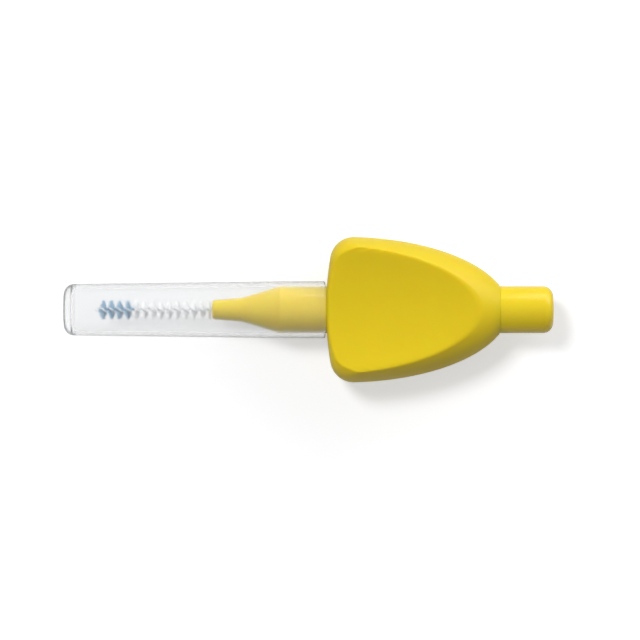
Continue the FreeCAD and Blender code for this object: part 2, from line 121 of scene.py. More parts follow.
class CoreSettings(bpy.types.PropertyGroup):
    """The rigid core: neck, seat of the cap and rear stub."""
    neck: length("Neck length", "Tip of the neck to the front of the grip", 0.0142)
    tip_radius: length("Tip radius", "Neck at its tip", 0.00117)
    waist: length("Waist", "Bend of the neck to the front of the grip", 0.0104)
    waist_radius: length("Waist radius", "Neck at its bend", 0.0015)
    seat: length("Seat length", "Cylinder that carries the cap", 0.00574)
    shank_radius: length("Shank radius", "Seat and stub", 0.002925)
    stub: length("Stub length", "Rear stub behind the grip", 0.00669)
    stub_round: length("Stub rounding", "Rounding of the stub's end", 0.0012)
    tip_round: length("Tip rounding", "Rounding of the neck's end", 0.0003)
    waist_bend: length("Waist bend", "Radius along the neck at its bend", 0.004)
    seat_bend: length("Seat bend", "Radius along the neck at the seat", 0.0005)
    tang_radius: length("Tang radius", "Core inside the grip", 0.0017)
    inset: length("Inset", "Full shank inside each end of the grip", 0.0006)
    shoulder: length("Shoulder", "Step of the stub at the rear face", 0.00025)
    press: length("Press", "Overlap of the grip and the shank", 0.00001)
    hole_edge: length("Hole edge", "Rounding of the wire's hole", 0.00004)
    shoulder_edge: length("Shoulder edge", "Rounding of the shoulder", 0.00006)
    gate: length("Gate mark", "Radius of the gate mark on the stub", 0.00062)
    gate_floor: length("Gate floor", "Radius of the mark's floor", 0.00055)
    gate_depth: length("Gate depth", "Depth of the mark", 0.00008)
    gate_edge: length("Gate edge", "Rounding of the mark's edge", 0.00005)
    gate_foot: length("Gate foot", "Rounding of the mark's foot", 0.00003)
    colour: tint("Colour", "Glossy yellow of the core", (0.84, 0.64, 0.009))
    roughness: share("Roughness", "Gloss of the core", 0.2)


class BrushSettings(bpy.types.PropertyGroup):
    """The twisted wire and its filaments."""
    wire: length("Wire", "Diameter of one strand", 0.00028)
    leg: length("Leg offset", "Middle of a strand to the axis", 0.00019)
    pitch: length("Twist pitch", "One full turn of the wire", 0.00205)
    root: length("Root", "Wire inside the neck", 0.0054)
    stem: length("Stem", "Bare wire ahead of the neck", 0.00016)
    span: length("Brush length", "All filaments", 0.01394)
    tip_span: length("Tip length", "Coloured filaments", 0.0042)
    bare: length("Bare tip", "Wire ahead of the filaments", 0.0002)
    reach: length("Reach", "Half of the brush's diameter", 0.00125)
    filament: length("Filament", "Diameter of one filament", 0.000076)
    spacing: length("Spacing", "Filament to filament along the wire", 0.0000335)
    play: length("Play", "Wire to the wall of its hole", 0.000015)
    slip: length("Slip", "Spread of the filaments along the wire", 0.000012)
    fan: share("Fan", "Spread of their angles, in radians", 0.10)
    longest: share("Longest", "Longest filament, as a share of the reach", 0.985)
    uneven: share("Unevenness", "Spread of their lengths, as such a share", 0.022)
    lean: length("Lean", "Spread of how far both ends lean one way", 0.00003)
    sway: length("Sway", "Spread of how far the ends slant apart", 0.00005)
    stray: share("Stray", "Spread of the turn of their ends, in radians", 0.07)
    seed: IntProperty(name="Seed", description="Picks how the filaments stray",
                      default=7, min=0)
    white: tint("White nylon", "Filaments of the body", (0.97, 0.975, 0.975))
    blue: tint("Blue nylon", "Filaments of the tip", (0.55, 0.71, 0.81))
    steel: tint("Steel", "Wire", (0.84, 0.85, 0.87))


class CapSettings(bpy.types.PropertyGroup):
    """The clear push-on cap."""
    span: length("Length", "Closed end to mouth", 0.03265)
    gap: length("Gap", "Mouth to the front of the grip", 0.00006)
    mouth_radius: length("Mouth radius", "Outside, at the mouth", 0.00355)
    end_radius: length("End radius", "Outside, at the closed end", 0.0032)
    seat: length("Seat length", "Straight part at the mouth", 0.00574)
    bore: length("Bore radius", "Inside, on the seat", 0.002955)
    wall: length("Wall", "Side wall past the seat", 0.00058)
    end_wall: length("End wall", "Thickness of the closed end", 0.001)
    outside: length("Outer corner", "Rounding of the closed end", 0.0012)
    inside: length("Inner corner", "Rounding inside the closed end", 0.0006)
    lead_in: length("Lead-in", "Bevel inside the mouth", 0.00018)
    lead_bend: length("Lead-in bend", "Radius where the bevel meets the bore", 0.0001)
    mouth_round: length("Mouth rounding", "Outer edge of the mouth", 0.00025)
    mouth_edge: length("Mouth edge", "Inner edge of the mouth", 0.00003)
    outer_bend: length("Outer bend", "Radius along the outside at the seat", 0.02)
    inner_bend: length("Inner bend", "Radius along the inside at the seat", 0.01)
    gate: length("Gate mark", "Radius of the gate mark on the end", 0.0006)
    gate_floor: length("Gate floor", "Radius of the mark's floor", 0.0005)
    gate_depth: length("Gate depth", "Depth of the mark", 0.00012)
    gate_edge: length("Gate edge", "Rounding of the mark's edge", 0.00006)
    gate_foot: length("Gate foot", "Rounding of the mark's foot", 0.00004)
    haze: share("Haze", "Light that each skin of the cap scatters", 0.025)
    colour: tint("Colour", "Clear plastic", (0.925, 0.929, 0.931))
    shade: share("Shade", "Light that each skin of the cap lets through", 0.97)


class StageSettings(bpy.types.PropertyGroup):
    """Floor, light and camera."""
    middle_x: FloatProperty(name="Middle X", description="Point under the camera",
                            default=0.0014375, precision=6, unit="LENGTH")
    middle_y: FloatProperty(name="Middle Y", description="Point under the camera",
                            default=-0.0012875, precision=6, unit="LENGTH")
    field: length("Field", "Width of the view at the height of the axis", 0.08)
    focal: FloatProperty(name="Lens", description="Focal length in millimetres",
                         default=200.0, min=1.0, unit="CAMERA")
    key_power: FloatProperty(name="Key", description="Power of the key light",
                             default=8.3, min=0.0, unit="POWER")
    box_power: FloatProperty(name="Soft box", description="Power of the soft box",
                             default=7.2, min=0.0, unit="POWER")
    sky: FloatProperty(name="Room light", description="Light from all round",
                       default=0.21, min=0.0)
    floor: tint("Floor", "Colour of the ground", (0.6, 0.602, 0.61))
    lift: FloatProperty(name="Floor lift", description="Glow that whitens the floor",
                        default=0.54, min=0.0)
    mirrored: share("Floor in gloss", "Share of that glow that gloss mirrors", 0.25)


# ------------------------------------------------------------------ mesh from arrays
def skin_rings(name, rings, join_ends=False):
    """Mesh over rows of points, rows x columns x 3, where every row is a closed ring.

    Neighbouring rows are joined by quads, column by column.  With join_ends the last
    row is joined to the first, as on a tyre; otherwise each end row is closed by a fan
    of triangles to its own mean point.
    """
    rows, columns = rings.shape[:2]
    row = np.arange(rows if join_ends else rows - 1)[:, None] * columns
    after = (row + columns) % (rows * columns)
    here = np.arange(columns)[None, :]
    beside = (here + 1) % columns
    faces = np.stack([row + here, row + beside, after + beside, after + here], -1)
    faces = faces.reshape(-1, 4).tolist()
    points = rings.reshape(-1, 3)
    if not join_ends:
        total = rows * columns
        last = total - columns
        here = here[0]
        beside = beside[0]
        start = np.stack([np.full(columns, total), beside, here], -1)
        end = np.stack([np.full(columns, total + 1), last + here, last + beside], -1)
        faces = faces + start.tolist() + end.tolist()
        points = np.vstack([points, rings[0].mean(0), rings[-1].mean(0)])
    return mesh_piece(name, points, faces)


def mesh_piece(name, points, faces, crease=40.0):
    """Object from points and faces, smooth but for edges sharper than the crease."""
    mesh = bpy.data.meshes.new(name)
    mesh.from_pydata(points, [], faces)
    mesh.update()
    mesh.polygons.foreach_set("use_smooth", np.ones(len(mesh.polygons), dtype=bool))
    mesh.set_sharp_from_angle(angle=math.radians(crease))
    if mesh.validate():
        raise RuntimeError("faces of " + name + " had to be mended")
    piece = bpy.data.objects.new(name, mesh)
    bpy.context.scene.collection.objects.link(piece)
    return piece


def round_angles(columns):
    """Evenly spaced angles of one full turn, as a single row."""
    return np.linspace(0.0, 2.0 * math.pi, columns, endpoint=False)[None, :]


def bent_line(corners, steps=10):
    """Points (station, radius) along straight runs with an arc in place of each corner.

    A corner is (station, radius, bend).  Its arc touches both runs at a distance of
    bend times the tangent of half the turn, and is drawn as the middle circle of that
    bend swept from one run's normal to the other's.  A corner without a bend, or one
    that doesn't turn, stays a point.
    """
    straight = 1e-6
    spots = np.array([corner[:2] for corner in corners])
    line = [spots[:1]]
    for i in range(1, len(corners) - 1):
        into = spots[i] - spots[i - 1]
        out = spots[i + 1] - spots[i]
        into = into / np.hypot(*into)
        out = out / np.hypot(*out)
        bend = corners[i][2]
        turn = math.atan2(into[0] * out[1] - into[1] * out[0], into @ out)
        if bend <= 0.0 or abs(turn) < straight:
            line.append(spots[i:i + 1])
            continue
        reach = bend * math.tan(abs(turn) / 2.0)
        side = np.array([-into[1], into[0]]) * math.copysign(1.0, turn)
        centre = spots[i] - into * reach + side * bend
        swing = np.linspace(0.0, abs(turn), steps)[:, None]
        line.append(centre - side * bend * np.cos(swing) + into * bend * np.sin(swing))
    line.append(spots[-1:])
    return np.vstack(line)


def turned(name, line, columns):
    """Surface of revolution: each (station, radius) becomes a ring about the axis.

    A point of the ring is (FRONT + station, radius cos t, AXIS_HEIGHT + radius sin t),
    with t going once round.
    """
    t = round_angles(columns)
    station = line[:, :1] + 0.0 * t
    radius = line[:, 1:2]
    rings = np.stack([FRONT + station, radius * np.cos(t),
                      AXIS_HEIGHT + radius * np.sin(t)], -1)
    return skin_rings(name, rings)


# ----------------------------------------------------------------- shape of the grip
def soft_least(a, b, width):
    """Smaller of two distances, with a parabola for the kink where they cross."""
    mix = np.clip(0.5 + 0.5 * (b - a) / width, 0.0, 1.0)
    return b * (1.0 - mix) + a * mix - width * mix * (1.0 - mix)


def grip_reach(p, c, s, station):
    """Distance from the axis to the grip's skin, along (c, s), at a station.

    A section is an ellipse, reached at 1 / sqrt(c c / (w w) + s s / (h h)).  With run
    from 0 at the widest place to 1 at the rear, its half width w falls as the square
    root of 1 - k run run, and its half height h as (1 - k run^1.5)^(2/3).  A dish is a
    circle whose middle stands above the grip, reached at |s| m - sqrt(r r - m m c c)
    for a middle at height m and a radius r.  The nearer of the two counts, and where a
    line misses the circle, the dish counts as out of reach.
    """
    out_of_reach = 1.0
    run = (station - p.widest) / (p.span - p.widest)
    sizes = []
    for half, rear, power in ((p.half_width, p.rear_width, 2.0),
                              (p.half_height, p.rear_height, 1.5)):
        left = 1.0 - (1.0 - (rear / half) ** power) * np.abs(run) ** power
        sizes.append(half * np.maximum(left, 0.0) ** (1.0 / power))
    oval = 1.0 / np.sqrt((c / sizes[0]) ** 2 + (s / sizes[1]) ** 2)
    radius = (p.dish_half ** 2 + p.dish_depth ** 2) / (2.0 * p.dish_depth)
    middle = p.dish_floor + radius + p.dish_rise * run
    under = radius ** 2 - (middle * c) ** 2
    dish = np.abs(s) * middle - np.sqrt(np.maximum(under, 0.0))
    return soft_least(oval, np.where(under > 0.0, dish, out_of_reach), p.rim)


def front_wall(p, y, z):
    """Station of the front wall at a point across the grip.

    In plan it is a wide bow that runs into a corner arc on each side, drawn in with
    the flanks as they close upwards.  Seen from the side it is upright and then turns
    back by r - sqrt(r r - u u), for a height u above the start of the rounding.
    """
    nook_y = p.half_width - p.corner
    nook_x = p.bow - math.sqrt((p.bow - p.corner) ** 2 - nook_y ** 2)
    meet = p.bow * nook_y / (p.bow - p.corner)
    y = np.abs(y) / np.sqrt(1.0 - (z / p.half_height) ** 2)
    bow = p.bow - np.sqrt(np.maximum(p.bow ** 2 - y ** 2, 0.0))
    out = np.clip(y - nook_y, 0.0, p.corner)
    plan = np.where(y < meet, bow, nook_x - np.sqrt(p.corner ** 2 - out ** 2))
    up = np.clip(np.abs(z) - p.front_top + p.front_round, 0.0, p.front_round)
    return plan + p.front_round - np.sqrt(p.front_round ** 2 - up ** 2)


def grip_rings(p, core, columns=400, rows=168, edge_rows=7, rear_rows=5, wall_rows=41,
               passes=30):
    """Rings of the grip, front to rear on the outside and back through its bore.

    On the outside a ring's station runs from the front wall to the rear face by equal
    shares, and its radius is grip_reach; both depend on y, so they are settled by
    repeating the two formulas.  A quarter circle of the edge radius leads from there
    to the front wall, which runs in to the bore.  The rear has one like it.
    """
    t = round_angles(columns)
    c = np.cos(t)
    s = np.sin(t)
    quarter = np.linspace(math.pi / 2.0, 0.0, edge_rows)[:, None]
    along = np.linspace(0.0, 1.0, rows)[1:, None]
    ahead = np.vstack([1.0 - np.sin(quarter), np.ones_like(along)])
    below = np.vstack([1.0 - np.cos(quarter), np.zeros_like(along)])
    part = np.vstack([np.zeros_like(quarter), along])
    rear = p.span - p.rear_edge
    station = part * p.span + 0.0 * t
    for _ in range(passes):
        radius = grip_reach(p, c, s, station) - p.edge * below
        wall = front_wall(p, radius * c, radius * s) + p.edge * ahead
        station = wall * (1.0 - part) + rear * part
    outside = np.stack([station, radius * c, radius * s], -1)

    end = grip_reach(p, c, s, np.full_like(c, rear))
    swing = np.linspace(0.0, math.pi / 2.0, rear_rows)[1:, None]
    radius = end - p.rear_edge * (1.0 - np.cos(swing))
    station = rear + p.rear_edge * np.sin(swing) + 0.0 * t
    turned_in = np.stack([station, radius * c, radius * s], -1)

    tight = core.shank_radius - core.press
    step = tight - core.shoulder
    far = p.span - core.inset
    bore = np.array([
        (p.span, step), (far, step), (far, core.tang_radius),
        (core.inset, core.tang_radius), (core.inset, tight),
    ])
    radius = bore[:, 1:2]
    station = bore[:, :1] + 0.0 * t
    inside = np.stack([station, radius * c, radius * s], -1)

    outer = np.hypot(outside[0, :, 1], outside[0, :, 2])[None, :]
    part = np.linspace(0.0, 1.0, wall_rows)[:-1, None]
    radius = tight + (outer - tight) * part
    wall = np.stack([front_wall(p, radius * c, radius * s), radius * c, radius * s], -1)
    rings = np.concatenate([outside, turned_in, inside, wall], 0)
    return rings + np.array([FRONT, 0.0, AXIS_HEIGHT])


# ---------------------------------------------------------------- wire and filaments
def twist(p, tip, x):
    """Angle of the wire's first leg at x, right-handed, zero at the brush's tip."""
    return 2.0 * math.pi * (x - tip) / p.pitch


def wire_rings(p, core, columns=12, per_turn=26, fold_rows=13):
    """Rings along the folded and twisted wire.

    Its middle line is (x, d cos a, d sin a) with a = twist(x): x runs to the fold with
    d the leg offset, round a half circle in which d changes sign, and back.  The rings
    stand square to the line, with their first direction taken across the twist.
    """
    neck = FRONT - core.neck
    root = neck + p.root
    tip = neck - p.stem - p.span
    fold = tip - p.bare
    count = int(round((root - fold) / p.pitch * per_turn))
    swing = np.linspace(0.0, math.pi, fold_rows + 2)[1:-1]
    x = np.concatenate([np.linspace(root, fold, count), fold - p.leg * np.sin(swing),
                        np.linspace(fold, root, count)])
    d = np.concatenate([np.full(count, p.leg), p.leg * np.cos(swing),
                        np.full(count, -p.leg)])
    a = twist(p, tip, x)
    line = np.stack([x, d * np.cos(a), d * np.sin(a)], -1)
    ahead = np.gradient(line, axis=0)
    ahead = ahead / np.linalg.norm(ahead, axis=1, keepdims=True)
    across = np.stack([0.0 * a, -np.sin(a), np.cos(a)], -1)
    across = across - ahead * np.sum(across * ahead, 1, keepdims=True)
    across = across / np.linalg.norm(across, axis=1, keepdims=True)
    third = np.cross(ahead, across)
    t = round_angles(columns)[:, :, None]
    ring = across[:, None] * np.cos(t) + third[:, None] * np.sin(t)
    rings = line[:, None] + ring * p.wire / 2.0
    return rings + np.array([0.0, 0.0, AXIS_HEIGHT])


def filament_field(p, tip, begin, end, sides=5):
    """Points and faces of the filaments from begin to end, one thin tube each.

    A filament passes through the axis square to the wire's legs there.  Along u from
    -1 to 1 its middle line is x + lean u u + sway u, and u times its reach in the
    direction of the slit, turned on by stray u |u|, all four a little different for
    each filament.  A tube has a ring at each entry of u, "thin" times as thick as the
    filament, and a lid at both ends.
    """
    rng = np.random.default_rng(p.seed)
    count = int(round((end - begin) / p.spacing))
    x = begin + (np.arange(count) + 0.5) * (end - begin) / count
    x = x + rng.normal(0.0, p.slip, count)
    base = twist(p, tip, x) + math.pi / 2.0 + rng.normal(0.0, p.fan, count)
    reach = p.reach * (p.longest - np.abs(rng.normal(0.0, p.uneven, count)))
    lean = rng.normal(0.0, p.lean, count)
    sway = rng.normal(0.0, p.sway, count)
    stray = rng.normal(0.0, p.stray, count)
    u = np.array([-1.0, -0.93, -0.6, -0.2, 0.2, 0.6, 0.93, 1.0])[None, :]
    thin = np.array([0.55, 0.95, 1.0, 1.0, 1.0, 1.0, 0.95, 0.55])[None, :]
    angle = base[:, None] + stray[:, None] * u * u * np.sign(u)
    out = u * reach[:, None]
    along = x[:, None] + lean[:, None] * u * u + sway[:, None] * u
    line = np.stack([along, out * np.cos(angle), out * np.sin(angle)], -1)
    side = np.stack([0.0 * angle, -np.sin(angle), np.cos(angle)], -1)
    t = round_angles(sides)[0]
    thick = (p.filament / 2.0 * thin)[:, :, None, None]
    ring = (side[:, :, None] * np.cos(t)[:, None]
            + np.array([1.0, 0.0, 0.0]) * np.sin(t)[:, None])
    points = line[:, :, None] + ring * thick
    points = points + np.array([0.0, 0.0, AXIS_HEIGHT])
    stations = u.shape[1]
    each = stations * sides
    start = np.arange(count)[:, None, None] * each
    row = np.arange(stations - 1)[None, :, None] * sides
    here = np.arange(sides)[None, None, :]
    beside = (here + 1) % sides
    near = start + row
    quads = np.stack([near + here, near + beside, near + sides + beside,
                      near + sides + here], -1).reshape(-1, 4)
    first = np.arange(count)[:, None] * each
    lids = np.concatenate([first + np.arange(sides)[::-1],
                           first + each - sides + np.arange(sides)], 0)
    return points.reshape(-1, 3), quads.tolist() + lids.tolist()


# ------------------------------------------------------------------- shader helpers
def new_group(name, inputs, outputs):
    """Empty shader node group with the named inputs (with defaults) and outputs."""
    group = bpy.data.node_groups.new(name, "ShaderNodeTree")
    for title, kind, default in inputs:
        socket = group.interface.new_socket(name=title, in_out="INPUT",
                                            socket_type=kind)
        socket.default_value = default
    for title, kind in outputs:
        group.interface.new_socket(name=title, in_out="OUTPUT", socket_type=kind)
    entry = group.nodes.new("NodeGroupInput")
    leave = group.nodes.new("NodeGroupOutput")
    return group, entry, leave


def add(tree, kind, links=None, **values):
    """New node; links are {input name or number: output socket or value}."""
    node = tree.nodes.new(kind)
    for key, value in values.items():
        setattr(node, key, value)
    for key, source in (links or {}).items():
        if isinstance(source, bpy.types.NodeSocket):
            tree.links.new(source, node.inputs[key])
        else:
            node.inputs[key].default_value = source
    return node


def math_node(tree, operation, a, b=0.0, c=0.0, clamp=False):
    """Math node on sockets or numbers, as its output socket."""
    node = add(tree, "ShaderNodeMath", {0: a, 1: b, 2: c}, operation=operation,
               use_clamp=clamp)
    return node.outputs[0]


def moulded_tone_group():
    """Slow change of tone over a moulding: colour x (1 + spread x noise)."""
    name = "moulded tone"
    if name in bpy.data.node_groups:
        return bpy.data.node_groups[name]
    group, entry, leave = new_group(name, [
        ("Colour", "NodeSocketColor", (0.8, 0.8, 0.8, 1.0)),
        ("Size", "NodeSocketFloat", 0.004),
        ("Spread", "NodeSocketFloat", 0.04),
    ], [("Colour", "NodeSocketColor")])
    place = add(group, "ShaderNodeTexCoord")
    scale = math_node(group, "DIVIDE", 1.0, entry.outputs["Size"])
    noise = add(group, "ShaderNodeTexNoise", {
        "Vector": place.outputs["Object"], "Scale": scale, "Detail": 3.0,
        "Roughness": 0.55})
    swing = math_node(group, "SUBTRACT", noise.outputs["Fac"], 0.5)
    factor = math_node(group, "MULTIPLY_ADD", swing, entry.outputs["Spread"], 1.0)
    scaled = add(group, "ShaderNodeVectorMath", {
        0: entry.outputs["Colour"], "Scale": factor}, operation="SCALE")
    group.links.new(scaled.outputs[0], leave.inputs["Colour"])
    return group


def fine_grain_group():
    """Fine grain of a mould's skin: a height, and a roughness that wanders with it."""
    name = "fine grain"
    if name in bpy.data.node_groups:
        return bpy.data.node_groups[name]
    group, entry, leave = new_group(name, [
        ("Size", "NodeSocketFloat", 0.0002),
        ("Roughness", "NodeSocketFloat", 0.4),
        ("Spread", "NodeSocketFloat", 0.08),
    ], [("Height", "NodeSocketFloat"), ("Roughness", "NodeSocketFloat")])
    place = add(group, "ShaderNodeTexCoord")
    scale = math_node(group, "DIVIDE", 1.0, entry.outputs["Size"])
    grain = add(group, "ShaderNodeTexNoise", {
        "Vector": place.outputs["Object"], "Scale": scale, "Detail": 4.0,
        "Roughness": 0.6})
    # The gloss wanders in patches some sixteen grains wide.
    wide = math_node(group, "MULTIPLY", scale, 0.06)
    rubbed = add(group, "ShaderNodeTexNoise", {
        "Vector": place.outputs["Object"], "Scale": wide, "Detail": 2.0})
    swing = math_node(group, "SUBTRACT", rubbed.outputs["Fac"], 0.5)
    rough = math_node(group, "MULTIPLY_ADD", swing, entry.outputs["Spread"],
                      entry.outputs["Roughness"], clamp=True)
    group.links.new(grain.outputs["Fac"], leave.inputs["Height"])
    group.links.new(rough, leave.inputs["Roughness"])
    return group


def parting_line_group():
    """Witness line of the mould: 1 on the plane z = level, down to 0 at the width."""
    name = "parting line"
    if name in bpy.data.node_groups:
        return bpy.data.node_groups[name]
    group, entry, leave = new_group(name, [
        ("Level", "NodeSocketFloat", 0.0043),
        ("Width", "NodeSocketFloat", 0.00008),
    ], [("Line", "NodeSocketFloat")])
    place = add(group, "ShaderNodeTexCoord")
    split = add(group, "ShaderNodeSeparateXYZ", {0: place.outputs["Object"]})
    off = math_node(group, "SUBTRACT", split.outputs["Z"], entry.outputs["Level"])
    away = math_node(group, "DIVIDE", math_node(group, "ABSOLUTE", off),
                     entry.outputs["Width"])
    line = math_node(group, "SUBTRACT", 1.0, away, clamp=True)
    group.links.new(line, leave.inputs["Line"])
    return group


def use_group(tree, group, **values):
    """Places a node group with its own values."""
    node = tree.nodes.new("ShaderNodeGroup")
    node.node_tree = group
    for title, value in values.items():
        node.inputs[title].default_value = value
    return node


def new_material(name):
    """Material with an output and nothing else."""
    material = bpy.data.materials.new(name)
    material.use_nodes = True
    tree = material.node_tree
    tree.nodes.clear()
    output = tree.nodes.new("ShaderNodeOutputMaterial")
    return material, tree, output


def moulded_plastic(name, colour, roughness, grain, height, line_height, gloss):
    """Coloured moulding: tone, grain and parting line over a Principled surface."""
    material, tree, output = new_material(name)
    tone = use_group(tree, moulded_tone_group(), Colour=(*colour, 1.0), Size=0.0045,
                     Spread=0.05)
    skin = use_group(tree, fine_grain_group(), Size=grain, Roughness=roughness,
                     Spread=0.1)
    line = use_group(tree, parting_line_group(), Level=AXIS_HEIGHT, Width=0.00007)
    bump = add(tree, "ShaderNodeBump", {
        "Height": skin.outputs["Height"], "Distance": height, "Strength": 1.0})
    ridge = add(tree, "ShaderNodeBump", {
        "Height": line.outputs["Line"], "Distance": line_height, "Strength": 1.0,
        "Normal": bump.outputs["Normal"]})
    shader = add(tree, "ShaderNodeBsdfPrincipled", {
        "Base Color": tone.outputs["Colour"], "Roughness": skin.outputs["Roughness"],
        "Normal": ridge.outputs["Normal"], "IOR": 1.47, "Specular IOR Level": gloss,
        "Subsurface Weight": 0.35, "Subsurface Scale": 0.0012})
    shader.inputs["Subsurface Radius"].default_value = (1.0, 0.45, 0.08)
    tree.links.new(shader.outputs[0], output.inputs["Surface"])
    return material


def dim_shadow_rays(tree, surface, tone):
    """Surface that shadow rays pass, dimmed to a grey tone, as its output socket."""
    clear = add(tree, "ShaderNodeBsdfTransparent", {"Color": (tone, tone, tone, 1.0)})
    path = add(tree, "ShaderNodeLightPath")
    mixed = add(tree, "ShaderNodeMixShader", {
        0: path.outputs["Is Shadow Ray"], 1: surface, 2: clear.outputs[0]})
    return mixed.outputs[0]


def nylon(name, colour, through):
    """Translucent filament: soft gloss and a tone that changes by the strand.

    "Through" is the share of its light that comes out on the far side.  Shadow rays
    pass it, a little dimmed.
    """
    material, tree, output = new_material(name)
    tone = use_group(tree, moulded_tone_group(), Colour=(*colour, 1.0), Size=0.0003,
                     Spread=0.3)
    skin = use_group(tree, fine_grain_group(), Size=0.00005, Roughness=0.35, Spread=0.1)
    shader = add(tree, "ShaderNodeBsdfPrincipled", {
        "Base Color": tone.outputs["Colour"], "Roughness": skin.outputs["Roughness"],
        "IOR": 1.53})
    far = add(tree, "ShaderNodeBsdfTranslucent", {"Color": tone.outputs["Colour"]})
    body = add(tree, "ShaderNodeMixShader", {
        0: through, 1: shader.outputs[0], 2: far.outputs[0]})
    tree.links.new(dim_shadow_rays(tree, body.outputs[0], tone=0.9),
                   output.inputs["Surface"])
    return material


def drawn_steel(name, colour):
    """Bright drawn wire, with a roughness that changes along it."""
    material, tree, output = new_material(name)
    tone = use_group(tree, moulded_tone_group(), Colour=(*colour, 1.0), Size=0.0006,
                     Spread=0.12)
    skin = use_group(tree, fine_grain_group(), Size=0.00006, Roughness=0.34, Spread=0.2)
    bump = add(tree, "ShaderNodeBump", {
        "Height": skin.outputs["Height"], "Distance": 0.000002, "Strength": 0.6})
    shader = add(tree, "ShaderNodeBsdfPrincipled", {
        "Base Color": tone.outputs["Colour"], "Roughness": skin.outputs["Roughness"],
        "Metallic": 1.0, "Normal": bump.outputs["Normal"]})
    tree.links.new(shader.outputs[0], output.inputs["Surface"])
    return material


def clear_plastic(name, colour, shade, haze):
    """Faintly milky moulding that bends light; shadow rays pass it, dimmed to shade."""
    material, tree, output = new_material(name)
    skin = use_group(tree, fine_grain_group(), Size=0.0009, Roughness=0.17, Spread=0.03)
    bump = add(tree, "ShaderNodeBump", {
        "Height": skin.outputs["Height"], "Distance": 0.0000012, "Strength": 0.5})
    shader = add(tree, "ShaderNodeBsdfPrincipled", {
        "Base Color": (*colour, 1.0), "Roughness": skin.outputs["Roughness"],
        "IOR": 1.41, "Transmission Weight": 1.0 - haze,
        "Normal": bump.outputs["Normal"]})
    tree.links.new(dim_shadow_rays(tree, shader.outputs[0], tone=shade),
                   output.inputs["Surface"])
    return material


def seen_directly(tree, mirrored):
    """1 for rays that show the background, the mirrored share for glossy rays, else 0.

    A ray that has left a matt surface before only lights it, so it counts as 0 even
    where it passes through the clear cap.
    """
    path = add(tree, "ShaderNodeLightPath")
    both = math_node(tree, "MAXIMUM", path.outputs["Is Camera Ray"],
                     path.outputs["Is Transmission Ray"])
    gloss = math_node(tree, "MULTIPLY", path.outputs["Is Glossy Ray"], mirrored)
    seen = math_node(tree, "MAXIMUM", both, gloss)
    fresh = math_node(tree, "LESS_THAN", path.outputs["Diffuse Depth"], 0.5)
    return math_node(tree, "MULTIPLY", seen, fresh)


def dress(piece, material, body, slot, *nodes):
    """Gives a finished piece its material and body, and hides the parts it stands for;
    the slot is not used.
    """
    piece.data.materials.append(material)
    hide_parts(*nodes)
    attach(piece, body)


# ---------------------------------------------------------------------------- stage
def lay_floor(p):
    """Matt ground, with a glow that brings it up to the white of the room."""
    corners = FLOOR_REACH * np.array([
        (-1.0, -1.0, 0.0), (1.0, -1.0, 0.0), (1.0, 1.0, 0.0), (-1.0, 1.0, 0.0)])
    floor = mesh_piece("studio_floor", corners, [[0, 1, 2, 3]])
    material, tree, output = new_material("studio floor")
    matt = add(tree, "ShaderNodeBsdfDiffuse", {"Color": (*p.floor, 1.0)})
    lift = math_node(tree, "MULTIPLY", seen_directly(tree, p.mirrored), p.lift)
    glow = add(tree, "ShaderNodeEmission", {"Strength": lift})
    both = add(tree, "ShaderNodeAddShader", {0: matt.outputs[0], 1: glow.outputs[0]})
    tree.links.new(both.outputs[0], output.inputs["Surface"])
    floor.data.materials.append(material)


def white_room(p):
    """World that looks white, lights softly and has one bright side for gloss."""
    world = bpy.data.worlds.new("room")
    world.use_nodes = True
    tree = world.node_tree
    tree.nodes.clear()
    way = add(tree, "ShaderNodeTexCoord")
    side = add(tree, "ShaderNodeVectorMath", {
        0: way.outputs["Generated"], 1: BRIGHT_SIDE}, operation="DOT_PRODUCT")
    wall = math_node(tree, "MULTIPLY_ADD", side.outputs["Value"], SIDE_CONTRAST,
                     1.0 - SIDE_CONTRAST, clamp=True)
    strength = math_node(tree, "MULTIPLY_ADD", seen_directly(tree, wall),
                         1.0 - p.sky, p.sky)
    sky = add(tree, "ShaderNodeBackground", {"Color": (1.0, 1.0, 1.0, 1.0),
                                             "Strength": strength})
    add(tree, "ShaderNodeOutputWorld", {0: sky.outputs[0]})
    return world


def lamp(name, target, direction, distance, width, height, power):
    """Area lamp that faces the target from a direction."""
    light = bpy.data.lights.new(name, "AREA")
    light.shape = "RECTANGLE"
    light.size = width
    light.size_y = height
    light.energy = power
    piece = bpy.data.objects.new(name, light)
    way = np.array(direction)
    way = way / np.linalg.norm(way)
    piece.location = target + way * distance
    piece.rotation_euler = Vector(way).to_track_quat("Z", "Y").to_euler()
    bpy.context.scene.collection.objects.link(piece)
    return piece


def hang_lamps(p):
    """Key light and soft box; the soft box alone shows in gloss and through the cap."""
    target = np.array([p.middle_x, 0.0, AXIS_HEIGHT])
    key = lamp("key light", target, direction=(-0.35, 0.37, 0.86),
               distance=1.2, width=0.3, height=0.3, power=p.key_power)
    key.visible_glossy = False
    key.visible_transmission = False
    lamp("soft box", target, direction=(0.56, 0.76, 0.33),
         distance=1.0, width=1.2, height=0.69, power=p.box_power)


def camera_above(p):
    """Camera straight above, that sees the field's width at the height of the axis."""
    camera = bpy.data.cameras.new("camera")
    camera.lens = p.focal
    camera.sensor_width = 36.0
    camera.clip_start = 0.01
    camera.clip_end = 20.0
    eye = bpy.data.objects.new("camera", camera)
    distance = p.field * p.focal / camera.sensor_width
    eye.location = (p.middle_x, p.middle_y, AXIS_HEIGHT + distance)
    bpy.context.scene.collection.objects.link(eye)
    return eye


